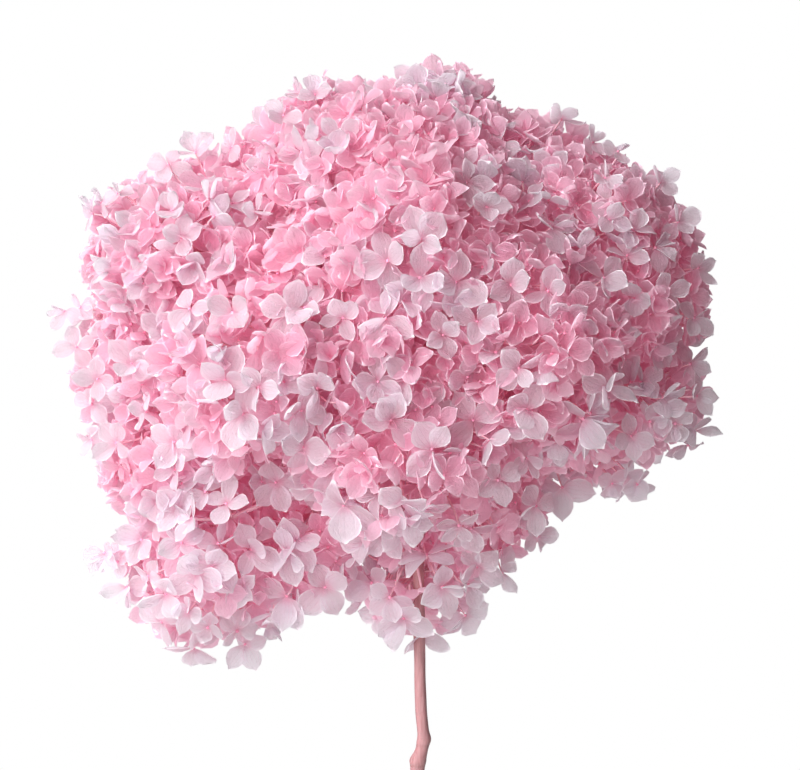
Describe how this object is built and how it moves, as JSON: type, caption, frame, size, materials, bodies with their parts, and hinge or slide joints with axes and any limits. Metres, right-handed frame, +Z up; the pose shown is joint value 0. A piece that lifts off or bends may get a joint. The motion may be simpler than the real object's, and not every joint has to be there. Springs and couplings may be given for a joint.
{
  "type": "preserved hydrangea in a glass jar",
  "caption": "Pink preserved mophead hydrangea on one cut stem, standing dry in a plain clear glass jar with a rolled rim, for a shelf or table.",
  "frame": {"origin": "centre of the jar's flat underside, on the surface that it stands on", "axes": "+Z up along the jar's axis, -Y towards the viewer and the side of the mouth that the stem leans on, +X to the viewer's right"},
  "size_m": [0.261, 0.1829, 0.4444],
  "materials": {
    "glass": "clear, smooth and glossy",
    "stem": "dyed woody stem, satin with fine lengthwise ridges",
    "petals": "soft matt petals, thin enough to let light through"
  },
  "bodies": {
    "root": {"glass_jar": "glass", "stem": "stem", "flower_head": "petals"}
  },
  "joints": []
}
